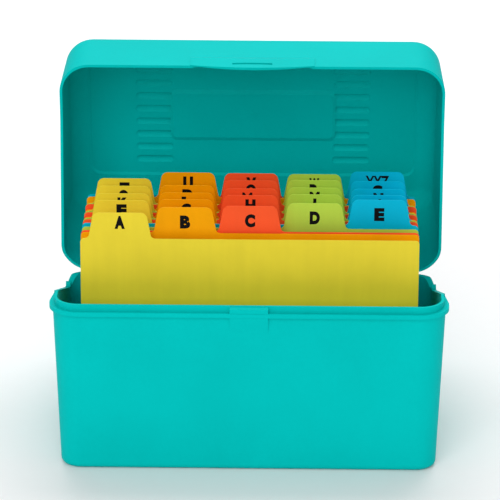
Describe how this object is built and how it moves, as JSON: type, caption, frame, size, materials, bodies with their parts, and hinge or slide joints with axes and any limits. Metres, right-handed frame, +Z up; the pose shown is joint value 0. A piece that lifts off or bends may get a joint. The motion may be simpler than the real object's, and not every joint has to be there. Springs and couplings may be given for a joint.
{
  "type": "card file box",
  "caption": "Flip-top plastic file box for 4 x 6 in index cards, with a latching hinged lid and tabbed alphabet guide cards.",
  "frame": {"origin": "centre of the base's flat underside", "axes": "+X along the width, to the right of someone facing the front; +Y from the front wall to the hinge; +Z up"},
  "size_m": [0.1802, 0.1557, 0.1643],
  "materials": {
    "box_plastic": "satin moulded polypropylene",
    "guide_yellow": "smooth plastic sheet",
    "guide_orange": "smooth plastic sheet",
    "guide_red": "smooth plastic sheet",
    "guide_lime": "smooth plastic sheet",
    "guide_blue": "smooth plastic sheet",
    "tab_ink": "printed black ink"
  },
  "bodies": {
    "base": {"base": "box_plastic"},
    "lid": {"lid": "box_plastic"},
    "guide_a": {"guide_a": "guide_yellow"},
    "guide_b": {"guide_b": "guide_orange"},
    "guide_c": {"guide_c": "guide_red"},
    "guide_d": {"guide_d": "guide_lime"},
    "guide_e": {"guide_e": "guide_blue"},
    "guide_f": {"guide_f": "guide_yellow"},
    "guide_g": {"guide_g": "guide_orange"},
    "guide_h": {"guide_h": "guide_red"},
    "guide_i": {"guide_i": "guide_lime"},
    "guide_j": {"guide_j": "guide_blue"},
    "guide_k": {"guide_k": "guide_yellow"},
    "guide_l": {"guide_l": "guide_orange"},
    "guide_mc": {"guide_mc": "guide_red"},
    "guide_m": {"guide_m": "guide_lime"},
    "guide_n": {"guide_n": "guide_blue"},
    "guide_o": {"guide_o": "guide_yellow"},
    "guide_p": {"guide_p": "guide_orange"},
    "guide_q": {"guide_q": "guide_red"},
    "guide_r": {"guide_r": "guide_lime"},
    "guide_s": {"guide_s": "guide_blue"},
    "guide_t": {"guide_t": "guide_yellow"},
    "guide_u": {"guide_u": "guide_orange"},
    "guide_v": {"guide_v": "guide_red"},
    "guide_w": {"guide_w": "guide_lime"},
    "guide_xyz": {"guide_xyz": "guide_blue"}
  },
  "joints": [
    {"name": "lid_hinge", "type": "hinge", "parent": "base", "child": "lid", "pos_m": [0, 0.0506, 0.0604], "axis": [-1, 0, 0], "range_deg": [-81, 0]},
    {"name": "guide_a_lift", "type": "slide", "parent": "base", "child": "guide_a", "axis": [0, 0, 1], "range_m": [0, 0.08]},
    {"name": "guide_b_lift", "type": "slide", "parent": "base", "child": "guide_b", "axis": [0, 0, 1], "range_m": [0, 0.08]},
    {"name": "guide_c_lift", "type": "slide", "parent": "base", "child": "guide_c", "axis": [0, 0, 1], "range_m": [0, 0.08]},
    {"name": "guide_d_lift", "type": "slide", "parent": "base", "child": "guide_d", "axis": [0, 0, 1], "range_m": [0, 0.08]},
    {"name": "guide_e_lift", "type": "slide", "parent": "base", "child": "guide_e", "axis": [0, 0, 1], "range_m": [0, 0.08]},
    {"name": "guide_f_lift", "type": "slide", "parent": "base", "child": "guide_f", "axis": [0, 0, 1], "range_m": [0, 0.08]},
    {"name": "guide_g_lift", "type": "slide", "parent": "base", "child": "guide_g", "axis": [0, 0, 1], "range_m": [0, 0.08]},
    {"name": "guide_h_lift", "type": "slide", "parent": "base", "child": "guide_h", "axis": [0, 0, 1], "range_m": [0, 0.08]},
    {"name": "guide_i_lift", "type": "slide", "parent": "base", "child": "guide_i", "axis": [0, 0, 1], "range_m": [0, 0.08]},
    {"name": "guide_j_lift", "type": "slide", "parent": "base", "child": "guide_j", "axis": [0, 0, 1], "range_m": [0, 0.08]},
    {"name": "guide_k_lift", "type": "slide", "parent": "base", "child": "guide_k", "axis": [0, 0, 1], "range_m": [0, 0.08]},
    {"name": "guide_l_lift", "type": "slide", "parent": "base", "child": "guide_l", "axis": [0, 0, 1], "range_m": [0, 0.08]},
    {"name": "guide_mc_lift", "type": "slide", "parent": "base", "child": "guide_mc", "axis": [0, 0, 1], "range_m": [0, 0.08]},
    {"name": "guide_m_lift", "type": "slide", "parent": "base", "child": "guide_m", "axis": [0, 0, 1], "range_m": [0, 0.08]},
    {"name": "guide_n_lift", "type": "slide", "parent": "base", "child": "guide_n", "axis": [0, 0, 1], "range_m": [0, 0.08]},
    {"name": "guide_o_lift", "type": "slide", "parent": "base", "child": "guide_o", "axis": [0, 0, 1], "range_m": [0, 0.08]},
    {"name": "guide_p_lift", "type": "slide", "parent": "base", "child": "guide_p", "axis": [0, 0, 1], "range_m": [0, 0.08]},
    {"name": "guide_q_lift", "type": "slide", "parent": "base", "child": "guide_q", "axis": [0, 0, 1], "range_m": [0, 0.08]},
    {"name": "guide_r_lift", "type": "slide", "parent": "base", "child": "guide_r", "axis": [0, 0, 1], "range_m": [0, 0.08]},
    {"name": "guide_s_lift", "type": "slide", "parent": "base", "child": "guide_s", "axis": [0, 0, 1], "range_m": [0, 0.08]},
    {"name": "guide_t_lift", "type": "slide", "parent": "base", "child": "guide_t", "axis": [0, 0, 1], "range_m": [0, 0.08]},
    {"name": "guide_u_lift", "type": "slide", "parent": "base", "child": "guide_u", "axis": [0, 0, 1], "range_m": [0, 0.08]},
    {"name": "guide_v_lift", "type": "slide", "parent": "base", "child": "guide_v", "axis": [0, 0, 1], "range_m": [0, 0.08]},
    {"name": "guide_w_lift", "type": "slide", "parent": "base", "child": "guide_w", "axis": [0, 0, 1], "range_m": [0, 0.08]},
    {"name": "guide_xyz_lift", "type": "slide", "parent": "base", "child": "guide_xyz", "axis": [0, 0, 1], "range_m": [0, 0.08]}
  ]
}
